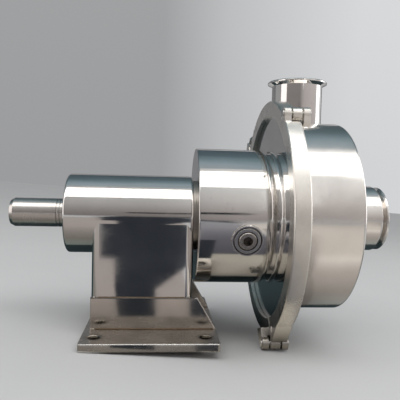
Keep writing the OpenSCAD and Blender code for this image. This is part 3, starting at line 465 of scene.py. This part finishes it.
# The floor lies just under the plate's left edge and, lower down, the clamp ring's bottom hinge
HINGE_REACH, HINGE_DROP = 165 * MM, 10 * MM
FLOOR_SLOPE = math.atan2(HINGE_DROP, HINGE_REACH)
FLOOR_X = plate_low.x
FLOOR_GAP = 0.2 * MM
FLOOR_HALF = 3
floor_mat = card_material("pale floor", (0.55, 0.56, 0.57), (0.59, 0.60, 0.61), scale=6.0)
floor_corners = [(FLOOR_HALF * x, FLOOR_HALF * y, 0) for x, y in ((-1, -1), (1, -1), (1, 1), (-1, 1))]
floor = stage_object("pale_floor", floor_corners, [(0, 1, 2, 3)], floor_mat)
floor.location = (FLOOR_X, 0, -FLOOR_GAP)
floor.rotation_euler = (0, FLOOR_SLOPE, 0)


def standing_card(name, x0, x1, y, z0, z1, mat):
    """An upright card that faces along Y."""
    card(name, [(x0, y, z0), (x1, y, z0), (x1, y, z1), (x0, y, z1)], mat)


def floor_card(name, outline, height, mat):
    """A card that lies on the sloping floor, given X and Y in the shared frame."""
    obj = card(name, [(x - FLOOR_X, y, height) for x, y in outline], mat)
    obj.location = (FLOOR_X, 0, 0)
    obj.rotation_euler = (0, FLOOR_SLOPE, 0)


# Far cards: one above and behind the pump, a wall behind it, and two behind the camera
canopy_card = graded_card("canopy card", [(-0.06, (0.62, 0.70, 0.74)), (0.20, (0.52, 0.66, 0.74)),
                                          (0.45, (0.36, 0.50, 0.56)), (0.95, (0.20, 0.29, 0.33)),
                                          (2.8, (0.16, 0.21, 0.24))], scale=1.5, wander=0.15)
back_card = card_material("back card", (0.36, 0.37, 0.39), (0.46, 0.47, 0.49), scale=1.2)
navy_card = card_material("navy card", (0.020, 0.024, 0.032), (0.035, 0.040, 0.050), scale=9.0)
wall_card = card_material("wall card", (0.86, 0.83, 0.80), (0.90, 0.87, 0.84), scale=2.0)
CANOPY_Z = 1.45
BACK_Y, WALL_Y = 2.3, -2.9
canopy_corners = [(x, y, CANOPY_Z) for x, y in ((-2.4, -0.06), (2.4, -0.06), (2.4, 2.8), (-2.4, 2.8))]
card("canopy", canopy_corners, canopy_card)
standing_card("back", -2.6, 2.6, BACK_Y, -0.4, 0.95, back_card)
standing_card("low_wall", 1.02, 1.42, WALL_Y, -0.10, 0.16, wall_card)
standing_card("sill", -0.22, 0.62, WALL_Y, 0.44, 0.60, navy_card)

# Floor cards, each a little above those that it laps
shelf_card = card_material("shelf card", (0.030, 0.045, 0.050), (0.045, 0.062, 0.068), scale=7.0)
left_card = graded_card("left card", [(-0.90, (0.36, 0.34, 0.33)), (-0.19, (0.38, 0.345, 0.33)),
                                      (-0.115, (0.28, 0.26, 0.25)), (-0.06, (0.21, 0.20, 0.18)),
                                      (-0.015, (0.24, 0.28, 0.26))], scale=12.0)
port_card = graded_card("port card", [(-1.5, (0.36, 0.37, 0.40)), (-0.50, (0.26, 0.26, 0.285)),
                                      (-0.22, (0.13, 0.13, 0.15)), (-0.110, (0.10, 0.10, 0.115)),
                                      (-0.100, (0.44, 0.42, 0.37)), (-0.060, (0.62, 0.59, 0.53)),
                                      (-0.020, (0.95, 0.90, 0.80)), (-0.005, (0.85, 0.82, 0.74)),
                                      (0.0, (0.20, 0.22, 0.20))], scale=12.0)
drum_card = graded_card("drum card", [(-1.5, (0.62, 0.59, 0.55)), (-0.215, (0.62, 0.58, 0.54)),
                                      (-0.175, (0.74, 0.70, 0.66)), (-0.12, (0.46, 0.43, 0.40)),
                                      (-0.06, (0.36, 0.34, 0.32)), (0.0, (0.36, 0.38, 0.37))], scale=9.0)
far_card = graded_card("far card", [(-3.0, (0.12, 0.125, 0.14)), (-1.7, (0.060, 0.065, 0.075)),
                                    (-1.0, (0.020, 0.024, 0.030))], scale=3.0, wander=0.05)
clamp_card = card_material("clamp card", (0.26, 0.245, 0.23), (0.32, 0.30, 0.285), scale=9.0)
suction_card = card_material("suction card", (0.34, 0.33, 0.32), (0.40, 0.385, 0.37), scale=9.0)
floor_card("shelf_mat", [(-0.60, -0.015), (0.60, -0.015), (0.60, 0.55), (-0.60, 0.55)],
           1.0 * MM, shelf_card)
floor_card("far_mat", [(-0.25, -3.0), (0.50, -3.0), (0.28, -1.0), (-0.19, -1.0)], 1.0 * MM, far_card)
floor_card("left_mat", [(-0.60, -0.90), (0.045, -0.90), (0.045, -0.012), (-0.60, -0.012)],
           1.4 * MM, left_card)
floor_card("port_mat", [(0.045, 0.0), (0.045, -0.11), (0.11, -1.5), (0.30, -1.5), (0.135, -0.11),
                        (0.135, 0.0)], 1.8 * MM, port_card)
floor_card("clamp_mat", [(0.136, 0.0), (0.136, -0.11), (0.195, -0.50), (0.265, -0.50), (0.165, -0.11),
                         (0.165, 0.0)], 3.0 * MM, clamp_card)
floor_card("suction_mat", [(0.30, -0.05), (0.43, -0.5), (0.82, -1.4), (1.2, -1.4), (0.62, -0.5),
                           (0.45, -0.05)], 3.0 * MM, suction_card)
floor_card("drum_mat", [(0.138, 0.0), (0.138, -0.11), (0.30, -1.5), (1.2, -1.5), (0.30, 0.0)],
           2.2 * MM, drum_card)
floor_card("front_mat", [(-0.034, -0.085), (0.004, -0.085), (0.002, -0.22), (0.061, -0.42), (0.105, -1.0),
                         (-0.165, -1.0), (-0.094, -0.42), (-0.068, -0.42), (-0.051, -0.22)],
           4.0 * MM, navy_card)
floor_card("end_mat", [(0.040, -0.085), (0.062, -0.085), (0.075, -0.20), (0.045, -0.20)], 4.4 * MM, navy_card)

# World: a soft room, paler high up and to the right, with its own tones in front and behind
studio = Tree(bpy.data.worlds.new("studio"))
scene.world = studio.owner
FRONT_UNTIL, BACK_FROM = -0.35, 0.25
direction = studio.split(studio.add("ShaderNodeTexCoord").outputs["Generated"])
front_tone = studio.ramp(direction["Z"], [(0.0, (0.29, 0.265, 0.26)), (0.17, (0.36, 0.335, 0.325)),
                                          (0.34, (0.45, 0.43, 0.42)), (0.5, (0.55, 0.535, 0.525)),
                                          (0.75, (0.66, 0.66, 0.65))])
back_tone = studio.ramp(direction["Z"], [(0.0, (0.47, 0.475, 0.485)), (0.5, (0.52, 0.525, 0.53)),
                                         (1.0, (0.70, 0.70, 0.70))])
across = studio.ramp(direction["X"], [(0.0, (0.7, 0.7, 0.7)), (0.12, (1.0, 1.0, 1.0)),
                                      (0.36, (1.35, 1.35, 1.35)), (0.85, (1.5, 1.5, 1.5))])
behind = studio.span(direction["Y"], FRONT_UNTIL, BACK_FROM, 0.0, 1.0, interpolation_type="SMOOTHSTEP")
room_tone = studio.mix(behind, front_tone, back_tone)
room_tone = studio.mix(1.0, room_tone, across, "MULTIPLY")
studio.feed(studio.nodes["Background"].inputs["Color"], room_tone)


# Lamps
WARM, SOFT_WHITE = (1.0, 0.95, 0.93), (1.0, 0.99, 0.97)
PUMP_MIDDLE = (0, 0, 0.15)


def softbox(name, loc, target, size, size_y, power, color, lean=0.0):
    """A soft lamp aimed at target; lean turns it about its own aim."""
    light = bpy.data.lights.new(name, "AREA")
    light.energy = power
    light.color = color
    light.shape = "RECTANGLE"
    light.size = size
    light.size_y = size_y
    obj = bpy.data.objects.new(name, light)
    obj.location = loc
    aim = (Vector(target) - Vector(loc)).to_track_quat("-Z", "Y")
    obj.rotation_euler = (aim @ Quaternion((0, 0, 1), lean)).to_euler()
    obj.visible_camera = False
    scene.collection.objects.link(obj)


softbox("overhead_softbox", (0.05, -0.58, 1.35), (0.05, -0.57, 0.1),
        size=3.0, size_y=0.78, power=13.0, color=SOFT_WHITE)
softbox("clamp_strip", (0.72, -2.0, 1.28), (0.12, 0, 0.15),
        size=0.15, size_y=1.35, power=0.70, color=SOFT_WHITE, lean=-0.14)
softbox("left_strip", (-1.25, -0.30, 0.50), PUMP_MIDDLE, size=0.75, size_y=1.0, power=2.6, color=WARM)
softbox("right_strip", (1.25, 0.20, 0.50), PUMP_MIDDLE, size=0.45, size_y=1.0, power=2.8, color=SOFT_WHITE)

# Camera
SENSOR_MM = 36.0
FRAME_PX = 400.0
FOCAL_PX = 488.07634
YAW, PITCH, ROLL = 0.0808161, -0.0554937, 0.0255492
EYE = (0.006678, -0.490790, 0.042636 + AXIS)
cam_data = bpy.data.cameras.new("camera")
cam = bpy.data.objects.new("camera", cam_data)
scene.collection.objects.link(cam)
cam_data.sensor_width = SENSOR_MM
cam_data.lens = FOCAL_PX / FRAME_PX * SENSOR_MM
forward = Vector((math.sin(YAW) * math.cos(PITCH), math.cos(YAW) * math.cos(PITCH), math.sin(PITCH)))
level_right = Vector((math.cos(YAW), -math.sin(YAW), 0))
level_up = level_right.cross(forward)
right = math.cos(ROLL) * level_right + math.sin(ROLL) * level_up
up = -math.sin(ROLL) * level_right + math.cos(ROLL) * level_up
pose = Matrix((right, up, -forward)).transposed().to_4x4()
pose.translation = Vector(EYE)
cam.matrix_world = pose
scene.camera = cam
